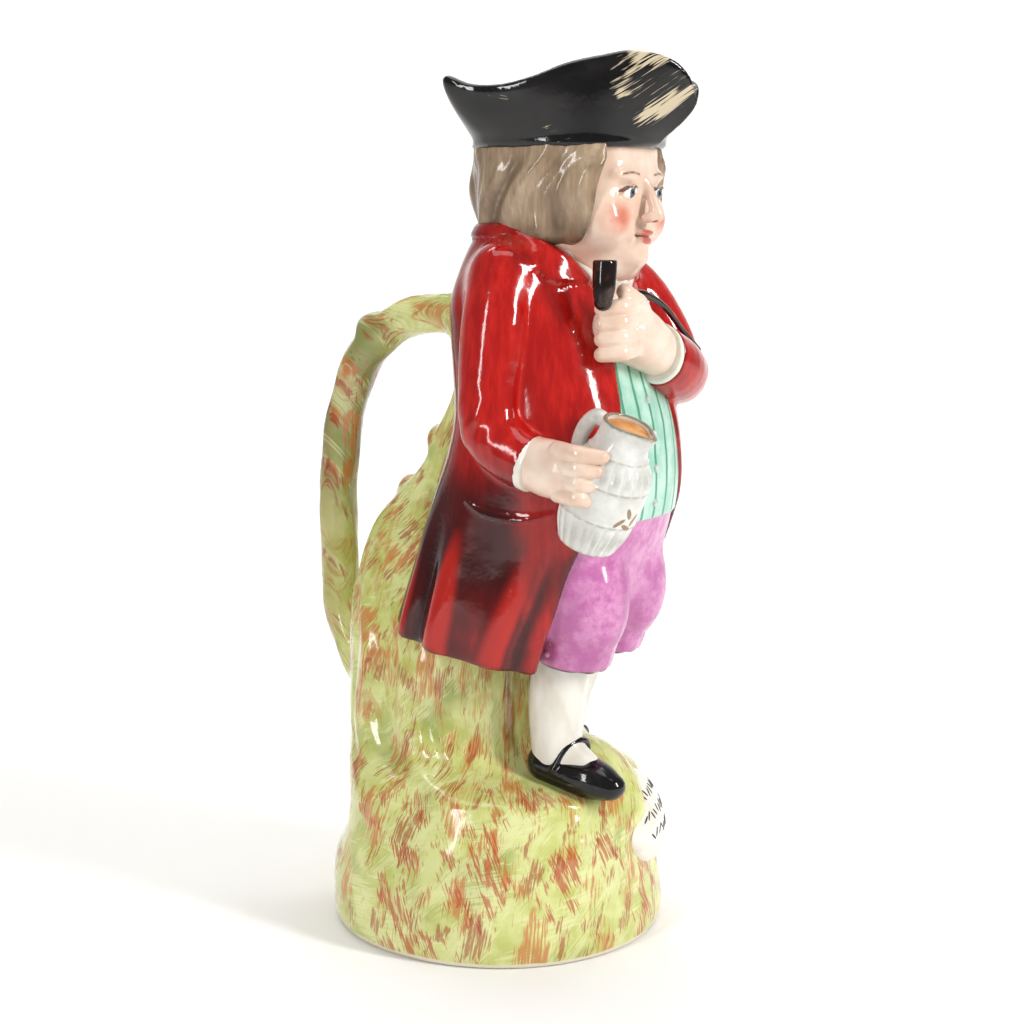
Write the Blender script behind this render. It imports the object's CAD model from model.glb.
import math

import bpy
import numpy as np
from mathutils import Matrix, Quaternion, Vector


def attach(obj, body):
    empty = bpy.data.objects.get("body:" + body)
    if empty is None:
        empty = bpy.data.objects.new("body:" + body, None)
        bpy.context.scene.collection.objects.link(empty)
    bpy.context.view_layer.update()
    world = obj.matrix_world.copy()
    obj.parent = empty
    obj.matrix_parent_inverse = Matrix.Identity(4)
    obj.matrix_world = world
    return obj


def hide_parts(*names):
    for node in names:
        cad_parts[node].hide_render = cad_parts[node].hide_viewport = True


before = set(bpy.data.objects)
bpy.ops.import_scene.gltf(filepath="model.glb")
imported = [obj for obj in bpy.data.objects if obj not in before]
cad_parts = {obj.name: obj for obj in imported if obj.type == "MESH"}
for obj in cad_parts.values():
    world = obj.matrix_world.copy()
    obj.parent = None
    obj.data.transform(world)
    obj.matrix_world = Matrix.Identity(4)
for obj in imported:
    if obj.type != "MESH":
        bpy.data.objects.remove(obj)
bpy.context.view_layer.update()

# The stump, the mound and the branch handle. They are cast with the man in one piece of white earthenware.
# The handle is rolled by hand and luted on. All of it is painted yellow-green, then brushed over with a
# nearly dry brush in rust red and brown before the last firing.

WALL = 4.5  # millimetres, as all sizes below are
FLOOR = 5.0
HANDLE_THICK = 14.0
HANDLE_REACH = 68.6
DRAIN_HALF = 9.5  # half the width of the straight way that joins the hollows
DRAIN_LOW, DRAIN_HIGH = 62, 242
INNER_SHARE = 0.12


def along(rows):
    """Rows of numbers, the first of each its place, as smooth functions of that place."""
    table = np.array(rows, float)
    places = table[:, 0]
    slopes = np.gradient(table[:, 1:], places, axis=0)

    def at(place):
        place = np.clip(place, places[0], places[-1])
        i = np.clip(np.searchsorted(places, place) - 1, 0, len(places) - 2)
        width = (places[i + 1] - places[i])[..., None]
        t = (place - places[i])[..., None] / width
        a, b = table[i, 1:], table[i + 1, 1:]
        rise = (2 * t**3 - 3 * t**2 + 1) * a + (3 * t**2 - 2 * t**3) * b
        lean = (t**3 - 2 * t**2 + t) * slopes[i] * width + (t**3 - t**2) * slopes[i + 1] * width
        return np.moveaxis(rise + lean, -1, 0)

    return at


def smooth(x, low, high):
    t = np.clip((x - low) / (high - low), 0, 1)
    return t * t * (3 - 2 * t)


def bump(x, middle, width):
    return np.exp(-(((x - middle) / width) ** 2))


def blend(a, b, width):
    """Two forms as one, with clay smoothed into the crease between them."""
    a, b = np.asarray(a, np.float32), np.asarray(b, np.float32)
    h = np.clip(0.5 + 0.5 * (b - a) / width, 0, 1)
    return b * (1 - h) + a * h - width * h * (1 - h)


def trim(a, b, width=0.6):
    """What two forms have in common, with the edge between them rounded."""
    return -blend(-a, -b, width)


class Clay:
    """A block of space round a piece. A form is how far each of its points lies outside the surface."""

    def __init__(self, low, high, step):
        self.low = np.array(low, float)
        self.step = step
        counts = [int(math.ceil((h - l) / step)) + 1 for l, h in zip(low, high)]
        self.lines = [np.float32(self.low[i] + step * np.arange(counts[i])) for i in range(3)]
        self.x, self.y, self.z = np.meshgrid(*self.lines, indexing="ij")

    def near(self, points, reach):
        """The part of the block within reach of some points."""
        points = np.atleast_2d(points)
        low, high = points.min(0) - reach, points.max(0) + reach
        return tuple(
            slice(int(np.searchsorted(line, low[i])), int(np.searchsorted(line, high[i], "right")))
            for i, line in enumerate(self.lines)
        )

    def limb(self, points, widths, flat=1.0, margin=9.0, steps=22):
        """A round bar through points, as thick as widths says along it."""
        points = np.array(points, float)
        widths = np.array(widths, float)
        spots = np.linspace(0, len(points) - 1, steps)
        route = along(np.column_stack([np.arange(len(points)), points]))(spots).T
        thick = along(np.column_stack([np.linspace(0, len(points) - 1, len(widths)), widths]))(spots)[0]
        form = np.full(self.x.shape, margin, np.float32)
        for a, b, ra, rb in zip(route[:-1], route[1:], thick[:-1], thick[1:]):
            part = self.near([a, b], max(ra, rb) + margin)
            if any(s.stop <= s.start for s in part):
                continue
            px, py, pz = self.x[part] - a[0], self.y[part] - a[1], (self.z[part] - a[2]) / flat
            way = b - a
            way[2] /= flat
            t = np.clip((px * way[0] + py * way[1] + pz * way[2]) / (way @ way), 0, 1)
            away = np.sqrt((px - t * way[0]) ** 2 + (py - t * way[1]) ** 2 + (pz - t * way[2]) ** 2)
            form[part] = np.minimum(form[part], away - (ra + t * (rb - ra)))
        return form

    def egg(self, middle, halves, margin=9.0, turn=0.0, lean=0.0):
        """An egg shape with three half sizes, turned about the upright and then leant back."""
        middle = np.array(middle, float)
        halves = np.array(halves, float)
        form = np.full(self.x.shape, margin, np.float32)
        part = self.near([middle], max(halves) + margin)
        x, y, z = self.x[part] - middle[0], self.y[part] - middle[1], self.z[part] - middle[2]
        c, s = math.cos(turn), math.sin(turn)
        x, y = c * x + s * y, c * y - s * x
        c, s = math.cos(lean), math.sin(lean)
        y, z = c * y + s * z, c * z - s * y
        near = np.sqrt((x / halves[0]) ** 2 + (y / halves[1]) ** 2 + (z / halves[2]) ** 2)
        far = np.sqrt((x / halves[0] ** 2) ** 2 + (y / halves[1] ** 2) ** 2 + (z / halves[2] ** 2) ** 2)
        form[part] = np.minimum(near * (near - 1) / np.maximum(far, 1e-6), margin)
        return form

    def turned(self, oval, stand_out=None):
        """An upright form: an oval at each height, standing out by a rule of its angle and height."""
        front, back, half, middle, square = oval(self.z)
        x, y = self.x, self.y - middle
        reach = np.where(y < 0, middle - front, back - middle)
        share = (np.abs(x / half) ** square + np.abs(y / reach) ** square) ** (1 / square)
        away = np.sqrt(x * x + y * y)
        form = away - away / np.maximum(share, 1e-4)
        if stand_out is not None:
            angle = np.arctan2(x / half, -y / reach)
            form = form - stand_out(angle, self.z)
        return even(form, self.step)


def even(form, step):
    """The same surface, with distances near it that are true."""
    slope = np.sqrt(sum(g * g for g in np.gradient(form, step)))
    return (form / np.clip(slope, 0.35, 3.0)).astype(np.float32)


def surface_of(clay, form):
    """The points and four-sided faces of a form's surface, facing outwards."""
    inside = form < 0
    size = np.array(inside.shape)
    counts = np.zeros(size - 1, np.int8)
    for corner in np.ndindex(2, 2, 2):
        counts += inside[tuple(slice(i, i + n - 1) for i, n in zip(corner, size))]
    cells = np.argwhere((counts > 0) & (counts < 8))
    number = np.full(counts.shape, -1, np.int64)
    number[tuple(cells.T)] = np.arange(len(cells))
    total = np.zeros((len(cells), 3))
    hits = np.zeros(len(cells))
    for axis in range(3):
        way = np.eye(3, dtype=int)[axis]
        for i in (0, 1):
            for j in (0, 1):
                start = np.zeros(3, int)
                start[(axis + 1) % 3], start[(axis + 2) % 3] = i, j
                a = form[tuple((cells + start).T)]
                b = form[tuple((cells + start + way).T)]
                crossed = (a < 0) != (b < 0)
                t = np.where(crossed, a / np.where(crossed, a - b, 1), 0)
                total += np.where(crossed[:, None], start + t[:, None] * way, 0)
                hits += crossed
    points = clay.low + clay.step * (cells + total / hits[:, None])
    faces = []
    for axis in range(3):
        way = np.eye(3, dtype=int)[axis]
        one, two = np.eye(3, dtype=int)[(axis + 1) % 3], np.eye(3, dtype=int)[(axis + 2) % 3]
        lower = inside[tuple(slice(0, size[a] - way[a]) for a in range(3))]
        upper = inside[tuple(slice(way[a], size[a]) for a in range(3))]
        edges = np.argwhere(lower != upper)
        good = np.all(edges - one - two >= 0, axis=1) & np.all(edges < np.array(counts.shape), axis=1)
        edges = edges[good]
        ring = [edges, edges - one, edges - one - two, edges - two]
        quad = np.column_stack([number[tuple(c.T)] for c in ring])
        outward = lower[tuple(edges.T)]
        quad[~outward] = quad[~outward][:, ::-1]
        faces.append(quad)
    faces = np.concatenate(faces)
    faces = faces[(faces >= 0).all(axis=1)]
    slopes = np.gradient(form, clay.step)
    for _ in range(2):
        value, *slope = sample(clay, [form, *slopes], points)
        slope = np.column_stack(slope)
        steepness = np.maximum((slope**2).sum(1), 0.05)
        move = -(value / steepness)[:, None] * slope
        points += np.clip(move, -0.5 * clay.step, 0.5 * clay.step)
    return points, faces[:, ::-1]


def sample(clay, fields, points):
    """Fields of a block of space at points between its own."""
    spot = (points - clay.low) / clay.step
    base = np.clip(spot.astype(int), 0, np.array(fields[0].shape) - 2)
    t = spot - base
    out = [np.zeros(len(points)) for _ in fields]
    for i in (0, 1):
        for j in (0, 1):
            for k in (0, 1):
                share = abs(1 - i - t[:, 0]) * abs(1 - j - t[:, 1]) * abs(1 - k - t[:, 2])
                for n, field in enumerate(fields):
                    out[n] += share * field[base[:, 0] + i, base[:, 1] + j, base[:, 2] + k]
    return out


def piece_of(name, clay, form, material, hollow=None, marks=None):
    """A finished piece from its form, with how hollow or proud its surface is kept for the painter.

    Where it has a hollow, the faces inside are thinned to a share, because they are hardly seen.
    """
    if hollow is not None:
        form = trim(form, -hollow(clay), 0.4)
    points, faces = surface_of(clay, form)
    mesh = bpy.data.meshes.new(name)
    mesh.vertices.add(len(points))
    mesh.vertices.foreach_set("co", (points * 0.001).ravel())
    mesh.loops.add(faces.size)
    mesh.loops.foreach_set("vertex_index", faces.ravel())
    mesh.polygons.add(len(faces))
    mesh.polygons.foreach_set("loop_start", np.arange(0, faces.size, 4))
    mesh.polygons.foreach_set("use_smooth", np.ones(len(faces), bool))
    mesh.update(calc_edges=True)
    normals = np.zeros(len(points) * 3)
    mesh.vertices.foreach_get("normal", normals)
    normals = normals.reshape(-1, 3)
    ends = np.concatenate([faces, np.roll(faces, 1, axis=1)])
    first, second = ends[: len(faces)].ravel(), ends[len(faces) :].ravel()
    spread = points.copy()
    degree = np.bincount(first, minlength=len(points)) + np.bincount(second, minlength=len(points))
    for _ in range(max(2, int(round(2.5 / clay.step)))):
        total = np.zeros_like(points)
        for i in range(3):
            total[:, i] = np.bincount(first, spread[second, i], len(points))
            total[:, i] += np.bincount(second, spread[first, i], len(points))
        spread = total / np.maximum(degree, 1)[:, None]
    values = {"dip": ((spread - points) * normals).sum(1)}
    values.update(marks(points) if marks else {})
    for key, value in values.items():
        mesh.attributes.new(key, "FLOAT", "POINT").data.foreach_set("value", np.asarray(value, np.float32))
    piece = bpy.data.objects.new(name, mesh)
    bpy.context.collection.objects.link(piece)
    mesh.materials.append(material)
    if hollow is not None:
        unseen = sample(clay, [hollow(clay)], points)[0] < 0.6
        inner = piece.vertex_groups.new(name="inner")
        inner.add([int(i) for i in np.flatnonzero(unseen)], 1.0, "REPLACE")
        thin = piece.modifiers.new("thin", "DECIMATE")
        thin.vertex_group = "inner"
        thin.ratio = 1 - float(unseen.mean()) * (1 - INNER_SHARE)
        bpy.context.view_layer.objects.active = piece
        done = bpy.data.meshes.new_from_object(piece.evaluated_get(bpy.context.evaluated_depsgraph_get()))
        piece.modifiers.clear()
        piece.vertex_groups.clear()
        piece.data = done
        done.name = name
    ride(piece)
    return piece


def ride(piece):
    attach(piece, "root")
    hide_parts("toby_jug")


class Number:
    """A shader socket with a number in it, so that a mask can be written as a sum."""

    def __init__(self, paint, socket):
        self.paint, self.socket = paint, socket

    def math(self, kind, first, second=None):
        values = [first] if second is None else [first, second]
        return Number(self.paint, self.paint.node("ShaderNodeMath", {"operation": kind}, values).outputs[0])

    def __add__(self, other):
        return self.math("ADD", self, other)

    def __sub__(self, other):
        return self.math("SUBTRACT", self, other)

    def __mul__(self, other):
        return self.math("MULTIPLY", self, other)

    def __rsub__(self, other):
        return self.math("SUBTRACT", other, self)

    __radd__ = __add__
    __rmul__ = __mul__

    def most(self, other):
        return self.math("MAXIMUM", self, other)

    def edge(self, low, high):
        """0 below low, 1 above high, and smooth between."""
        settings = {"interpolation_type": "SMOOTHSTEP"}
        made = self.paint.node("ShaderNodeMapRange", settings, [self, low, high, 0.0, 1.0])
        return Number(self.paint, made.outputs[0])


def colour(code):
    """A paint's colour from its usual six-digit code."""
    parts = [((code >> shift) & 255) / 255 for shift in (16, 8, 0)]
    return tuple(p / 12.92 if p <= 0.04045 else ((p + 0.055) / 1.055) ** 2.4 for p in parts) + (1.0,)


class Paint:
    """One painted and glazed finish: a material, and the ways to lay colour on it."""

    def __init__(self, name):
        self.material = bpy.data.materials.new(name)
        self.material.use_nodes = True
        self.tree = self.material.node_tree
        self.shader = self.tree.nodes["Principled BSDF"]
        self.place = self.node("ShaderNodeTexCoord").outputs["Object"]

    def node(self, kind, settings=None, values=()):
        made = self.tree.nodes.new(kind)
        for key, value in (settings or {}).items():
            setattr(made, key, value)
        pairs = values.items() if isinstance(values, dict) else enumerate(values)
        for key, value in pairs:
            self.put(made.inputs[key], value)
        return made

    def put(self, socket, value):
        if isinstance(value, Number):
            value = value.socket
        if isinstance(value, bpy.types.NodeSocket):
            self.tree.links.new(value, socket)
        else:
            socket.default_value = value

    def mark(self, name):
        """A value that the piece's own points carry."""
        return Number(self, self.node("ShaderNodeAttribute", {"attribute_name": name}).outputs["Fac"])

    def cloud(self, size, stretch=(1, 1, 1), detail=3.0, rough=0.55, shift=0.0, turn=(0, 0, 0), place=None):
        """Soft clouds about size millimetres across, turned, then drawn out along an axis by stretch."""
        scale = [1000 / size / s for s in stretch]
        turned = self.node("ShaderNodeMapping", {"vector_type": "POINT"}, {0: place or self.place, 2: turn})
        places = {0: turned.outputs[0], 1: (shift, shift * 0.7, shift * 1.3), 3: scale}
        moved = self.node("ShaderNodeMapping", {}, places)
        made = self.node("ShaderNodeTexNoise", {}, {0: moved.outputs[0], 2: 1.0, 3: detail, 4: rough})
        return Number(self, made.outputs[0])

    def axis(self, which):
        """A place along X, Y or Z in millimetres."""
        split = self.node("ShaderNodeSeparateXYZ", {}, [self.place])
        return Number(self, split.outputs[which]) * 1000.0

    def over(self, under, top, mask):
        """One colour laid over another through a mask."""
        made = self.node("ShaderNodeMix", {"data_type": "RGBA"}, {0: mask, 6: under, 7: top})
        return made.outputs[2]

    def glaze(self, base, gloss=0.14, wear=None, ripple=0.25):
        """Closes the finish with a clear lead glaze that is a little uneven."""
        rough = self.cloud(9, detail=4.0, shift=3.1).edge(0.35, 0.75) * 0.06 + gloss
        if wear is not None:
            rough = rough + wear * 0.35
        self.put(self.shader.inputs["Base Color"], base)
        self.put(self.shader.inputs["Roughness"], rough)
        self.shader.inputs["IOR"].default_value = 1.47
        self.shader.inputs["Coat Weight"].default_value = 0.1
        self.shader.inputs["Coat Roughness"].default_value = 0.04
        height = self.cloud(5.5, detail=2.0, shift=1.7) * 0.8 + self.cloud(1.3, detail=3.0, shift=5.0) * 0.12
        relief = self.node("ShaderNodeBump", {}, {"Strength": ripple, "Distance": 0.0006, "Height": height})
        self.put(self.shader.inputs["Normal"], relief.outputs[0])
        return self.material


ground_rows = along([
    [0, -56, 56.5, 55.5], [3.5, -57, 57.5, 56.5], [13, -57, 57.5, 56.5], [24, -56.5, 56.5, 55.5],
    [32.5, -55, 54, 53.5], [41, -53, 52, 50.5], [47.5, -50.5, 52.5, 48], [52.5, -47, 53.5, 45],
    [55, -39, 54.5, 42], [57, -29.5, 55, 39], [61, -21.5, 55.5, 35.5], [67, -19, 56, 34],
    [80.5, -18.5, 56, 32.5], [96, -16.5, 55.5, 31.5], [111.5, -6, 55, 27], [125, 0, 52.5, 20.5],
    [137.5, 2, 47, 15.5], [147.5, 2, 37.5, 12.5], [157.5, 1, 28.5, 10.5], [167.5, 0, 24.5, 8.9],
    [177.5, -1, 19, 7.9], [189.5, -2, 16, 7.4], [201, -3, 16, 7.4],
])


def ground_oval(z):
    front, back, half = ground_rows(z)
    base = 1 - smooth(z, 32, 54)
    return front, back, half, (front + back) / 2, 2.3 - 0.25 * base


def bark(angle, z):
    """How far the bark and the lumpy ground stand out, with the ground set back round the plaque."""
    stump = bump(z, 86, 30)
    wander = angle + 0.05 * np.sin(z / 9.0)
    grooves = np.sin(wander * 9 + 1.2) + 0.7 * np.sin(wander * 14 + z / 19)
    grooves = grooves + 0.25 * np.sin(wander * 31 + z / 7)
    lumps = np.sin(angle * 4 + z / 11) * np.sin(angle * 3 - z / 8 + 1)
    dents = np.sin(angle * 7 + z / 5) * np.sin(z / 6) + 0.6 * np.sin(angle * 12 - z / 4) * np.sin(z / 4.1 + 2)
    narrow = smooth(z, 112, 130)
    round_plaque = 3.5 * bump(angle, 0.33, 0.5) * bump(z, 38, 19)
    ground = (1 - stump) * (1 - 0.6 * narrow) * smooth(z, 4, 16)
    return -0.7 - round_plaque + 1.25 * stump * grooves + ground * (0.9 * lumps + 0.35 * dents)


drain_rows = along([
    [DRAIN_LOW, -12, 4], [108, -12, 6], [124, -12, -2], [200, -12, -2], [222, -20, -2], [DRAIN_HIGH, -20, -2],
])


def hollow_body(clay):
    """The space inside the jug, from the mouth of the hat down to the floor."""
    z = clay.z
    inside = np.full(z.shape, 30.0, np.float32)
    spans = ((ground_oval, FLOOR, 126.0), (coat_oval, 107.0, 232.0), (head_oval, 226.0, 285.0))
    for rows, low, high in spans:
        edge = [rows(np.clip(z + share * WALL, low, high)) for share in (-1, 0, 1)]
        front = np.max([e[0] for e in edge], axis=0) + WALL
        back = np.min([e[1] for e in edge], axis=0) - WALL
        half = np.min([e[2] for e in edge], axis=0) - WALL
        middle = np.clip(edge[1][3], front + half / 4, back - half / 4)
        reach = np.where(clay.y < middle, middle - front, back - middle)
        share = (np.abs(clay.x / half) ** 2.2 + np.abs((clay.y - middle) / reach) ** 2.2) ** (1 / 2.2)
        away = np.sqrt(clay.x**2 + (clay.y - middle) ** 2)
        form = away - away / np.maximum(share, 1e-4)
        form = trim(trim(form, low - z, 2.0), z - high, 2.0)
        inside = blend(inside, form, 2.0)
    front, back = drain_rows(z)
    drain = np.maximum(np.abs(clay.x) - DRAIN_HALF, np.abs(clay.y - (front + back) / 2) - (back - front) / 2)
    drain = trim(trim(drain, DRAIN_LOW - z, 2.0), z - DRAIN_HIGH, 2.0)
    return blend(inside, drain, 2.0)


coat_rows = along([
    [96, -46.5, 27, 41.5], [103.5, -48, 26.5, 42], [115, -51, 23, 42], [127, -53.5, 19, 41],
    [138.5, -57, 15.5, 40.5], [149.5, -59, 11, 40.5], [162.5, -59, 5.5, 40], [175.5, -57.5, 3, 38],
    [188.5, -53.5, 3.5, 37], [202, -49, 4.4, 36.5], [213, -44.5, 4.4, 35.5], [220.5, -41.5, 2.9, 32.5],
    [227.5, -40, 1.5, 28], [233, -40, 0, 24], [237, -40, -1.5, 22],
])


def coat_oval(z):
    front, back, half = coat_rows(z)
    return front, back, half, front * 0.45 + back * 0.55, 2.5


head_rows = along([
    [218.5, -39, -13.5, 11.8], [222.5, -46, -8.3, 15], [227.5, -50.5, -3.9, 19], [233, -53, -1, 22.5],
    [241, -54, 1.5, 24.5], [249.5, -55, 2.5, 25.5], [258, -55.5, 2.5, 25], [267, -55, 1.5, 24.5],
])


def head_oval(z):
    front, back, half = head_rows(z)
    return front, back, half, np.full_like(front, -25), 2.25


inward = [(11.4, 190), (4.3, 173), (0.1, 148), (0, 122), (1.6, 101), (8.8, 84), (18.6, 71)]
handle_route = [[7.9, 200], [18.2, 206.7], [31.6, 206.5], [45.6, 201.4]]
handle_route += [[HANDLE_REACH - short, z] for short, z in inward]

clay = Clay([-60, -61, -2.4], [60, 80, 214], 1.15)
stump = clay.turned(ground_oval, bark)
hump = clay.limb([[1, -16.4, 49.8], [2, -30.7, 47.6], [4.1, -40.5, 41.2]], [17, 19, 13.8])
stump = blend(stump, hump, 4.5)
handle = clay.limb(
    [[0, y, z] for y, z in handle_route],
    [HANDLE_THICK / 2 * s for s in (1.15, 1.05, 1, 1, 1.05, 1, 1, 1, 1, 1.05, 1.1, 1.2)],
    steps=40,
)
gnarls = 0.5 * np.sin(clay.z / 5.3 + clay.x / 3) * np.sin(clay.y / 3.1 + clay.x / 2.2)
stump = blend(stump, handle + 0.3 + gnarls, 5.0)
knots = [
    ([0, 52.4, 201.6], [6.5, 5.5, 5]), ([0, 24.6, 163.6], [4.5, 4, 5.5]), ([1, 36.5, 145.5], [6, 5, 5.5]),
]
for middle, halves in knots:
    stump = blend(stump, clay.egg(middle, halves), 3.0)
stump = trim(stump, -clay.z, 0.8)


def laid_flat(points, around=46.0):
    """Each point's place on the skin as if it were unrolled: round the axis, and down over the top."""
    x, y, z = points.T
    away = np.sqrt(x**2 + y**2)
    return {"round": np.arctan2(x, -y) * around * 0.001, "down": (z - 0.8 * away) * 0.001}


def strokes_of(paint, size, long, lean, shift, patch=9.0):
    """Bristle marks of a nearly dry brush, this many times as long as wide, pulled at an angle to upright."""
    skin = paint.node("ShaderNodeCombineXYZ", {}, [paint.mark("round"), paint.mark("down")]).outputs[0]
    turn = (0, 0, math.radians(lean))
    bristles = paint.cloud(size, (1, long, 1), detail=2.0, rough=0.6, shift=shift, turn=turn, place=skin)
    pulls = paint.cloud(patch, (1, 2.2, 1), detail=3.0, shift=shift + 3.3, turn=turn, place=skin)
    return bristles + pulls.edge(0.42, 0.68) * 0.36


wood = Paint("green and rust brushed glaze")
dip = wood.mark("dip")
height = wood.axis(2)
leaf = wood.over(colour(0xBFC46E), colour(0xD6DA92), wood.cloud(11, detail=4.0).edge(0.36, 0.64))
leaf = wood.over(leaf, colour(0x96A45A), wood.cloud(19, shift=4.0).edge(0.5, 0.75) * 0.75)
leaf = wood.over(leaf, colour(0x6C7845), dip.edge(0.04, 0.6) * 0.75)
mound = 1.0 - height.edge(44, 62)
olive = wood.axis(1).edge(34.0, 52.0) * height.edge(120.0, 170.0)
leaf = wood.over(leaf, colour(0x73784A), olive * 0.7)
pale = strokes_of(wood, 0.5, 18, 35, 51.0).edge(0.66, 0.82)
leaf = wood.over(leaf, colour(0xE2E3A8), pale * 0.55)
level = strokes_of(wood, 0.5, 20, 78, 61.0).edge(0.7, 0.82)
leaf = wood.over(leaf, colour(0xE2E3A8), level * mound * 0.6)
orange = (strokes_of(wood, 0.5, 22, 4, 2.0) - mound * 0.02).edge(0.66, 0.84)
rust = strokes_of(wood, 0.5, 18, -16, 21.0, patch=7.0).edge(0.72, 0.86) * (mound * 0.6 + 0.4)
brown = (strokes_of(wood, 0.5, 20, 9, 31.0, patch=6.0) + dip * 0.06).edge(0.74, 0.88)
bark_paint = wood.over(leaf, colour(0xC4763E), orange * 0.8)
bark_paint = wood.over(bark_paint, colour(0xB4502F), rust * 0.8)
bark_paint = wood.over(bark_paint, colour(0xA03A28), brown * 0.7)
handle_back = (wood.axis(1) + wood.cloud(12, (1, 1, 4), shift=50.0) * 14.0).edge(70.0, 76.0)
bark_paint = wood.over(bark_paint, colour(0x7C3522), handle_back * orange.most(0.4) * 0.85)
foot_line = 1.0 - (height + wood.cloud(14, shift=30.0) * 2.0).edge(2.6, 3.2)
bark_paint = wood.over(bark_paint, colour(0xE4DCC4), foot_line)
wood_glaze = wood.glaze(bark_paint, 0.12)
piece_of("mound_stump_and_handle", clay, stump, wood_glaze, hollow=hollow_body, marks=laid_flat)


# The name plaque: an oval pad of clay pressed on the front of the mound, left white, with a few rows of
# brushed strokes in its middle.

PLAQUE_AWAY = 46.5
PLAQUE_UP = 37.5
PLAQUE_HALVES = (19.5, 10.3, 17)  # across, out and up
plaque_turn = math.radians(20)
plaque_lean = math.radians(22)
plaque_middle = np.array([
    math.sin(plaque_turn) * PLAQUE_AWAY, -math.cos(plaque_turn) * PLAQUE_AWAY, PLAQUE_UP,
])
clay = Clay([-10, -66, 14], [44, -28, 58], 0.55)
plaque = clay.egg(plaque_middle, PLAQUE_HALVES, turn=plaque_turn, lean=-plaque_lean)
white = Paint("bare white glaze")
chalk = white.over(colour(0xE6E0D2), colour(0xF4F0E6), white.cloud(9).edge(0.3, 0.7))
chalk = white.over(chalk, colour(0xB5A888), white.mark("dip").edge(0.05, 0.5) * 0.6)
bare_white = white.glaze(chalk, 0.1)
piece_of("name_plaque", clay, plaque, bare_white)


# Stockings and shoes. The legs are cast against the stump, the right one a step in front of the left.
# Stockings stay white with a little grey in the shade, and the shoes are black with a strap over the instep.

clay = Clay([-27, -64, 48], [27, -2, 108], 0.6)
right_leg = [[-13.6, -34.8, 102.4], [-13.4, -31.9, 85.7], [-13.2, -31, 71], [-13.3, -31.8, 60.5]]
left_leg = [[13.6, -27.3, 103.5], [13.2, -20.8, 85.7], [13.2, -17.3, 71], [13.3, -16.3, 60.5]]
legs = np.minimum(clay.limb(right_leg, [9.2, 9.6, 8.6, 7.6]), clay.limb(left_leg, [9.2, 9.4, 8.4, 7.6]))
instep = np.minimum(
    clay.limb([[-13.3, -33, 63.4], [-13.6, -39.5, 62.4], [-14, -46, 59.6]], [6.6, 5.9, 4.2]),
    clay.limb([[13.3, -17.5, 59.4], [14, -24, 58.2], [14.8, -29, 56]], [6.6, 5.9, 4.2]),
)
legs = trim(blend(legs, instep, 4.0), 52.5 - clay.z, 0.5)
knit = Paint("white stocking")
calf = knit.over(colour(0xEAE6DC), colour(0xCFC7B4), knit.cloud(15, (1, 1, 2)).edge(0.45, 0.75))
shade = knit.cloud(11, (1, 1, 3), shift=4.0) + knit.mark("dip") * 0.4
calf = knit.over(calf, colour(0x98886A), shade.edge(0.52, 0.9) * 0.75)
piece_of("stockings", clay, legs, knit.glaze(calf, 0.12))


def shoe_form(heel, toe):
    """A low shoe from heel to toe, flat below, open over the foot and strapped over the instep."""
    heel, toe = np.array(heel, float), np.array(toe, float)
    way = toe - heel
    form = clay.limb([heel + way * share for share in (0, 0.33, 0.7, 1)], [8.9, 8.5, 7.8, 5.4], flat=0.85)
    back = (heel[1] - clay.y) / -way[1]
    top = heel[2] + 4.6 - 2.2 * smooth(back, -0.2, 0.3) + 9 * smooth(back, 0.66, 0.86)
    form = trim(form, clay.z - top, 1.0)
    over = [[-7.9, -0.4, 1], [-5.2, -3.3, 7.6], [0, -5.2, 9.6], [5.2, -5.4, 7.6], [7.9, -3.4, 1]]
    return np.minimum(form, clay.limb(heel + way * 0.2 + over, [1.3, 1.2, 1.2, 1.2, 1.3]))


right_shoe = shoe_form([-12.9, -30, 60.8], [-14.3, -52, 56.4])
shoes = np.minimum(right_shoe, shoe_form([12.9, -15, 56.6], [14.8, -32.5, 53.6]))
leather = Paint("black shoe glaze")
polish = leather.over(colour(0x0B0A0B), colour(0x2E2926), leather.cloud(6).edge(0.5, 0.8) * 0.8)
scuff = (leather.cloud(2.6, (1, 3, 1), detail=5.0, shift=5.0) - leather.mark("dip") * 0.3).edge(0.6, 0.7)
polish = leather.over(polish, colour(0x6E6450), scuff * 0.55)
piece_of("shoes", clay, shoes, leather.glaze(polish, 0.1, wear=scuff * 0.6))


# The man's body: waistcoat above, breeches below. The waistcoat is mint green with darker stripes up and
# down it, and the breeches are mauve, drawn in below the knee with a dark band.

WAIST = 143.4
opening_rows = along([
    [96, 32.5], [110.5, 32], [125, 30.5], [138.5, 28.5], [157.5, 23], [178.5, 18], [197.5, 14.5], [212, 12],
    [218, 13.6], [222, 15], [225.5, 16.6], [230, 19.5], [235.5, 22], [240, 23],
])
clay = Clay([-46, -66, 88], [46, -8, 224], 0.9)


def angle_round(oval, x, y, z):
    """How far round an oval each place lies, from its front, as turned gives it to a stand-out rule."""
    front, back, half, middle, square = oval(z)
    reach = np.where(y < middle, middle - front, back - middle)
    return np.arctan2(x / half, -(y - middle) / reach)


def opening(clay):
    """How far inside the coat's front opening each point of a block of clay lies, round the body."""
    front, back, half, middle, square = coat_oval(clay.z)
    angle = np.abs(angle_round(coat_oval, clay.x, clay.y, clay.z))
    edge = np.arcsin(np.minimum(0.98, np.maximum(opening_rows(clay.z)[0], 0) / half) ** 1.25)
    return (edge - angle) * np.sqrt(clay.x**2 + (clay.y - middle) ** 2)


def body_stand_out(angle, z):
    vest = 0.9 * smooth(z, WAIST - 0.9, WAIST + 0.3)
    return vest - 2.5 * (1 - smooth(z, 96, 128))


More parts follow.
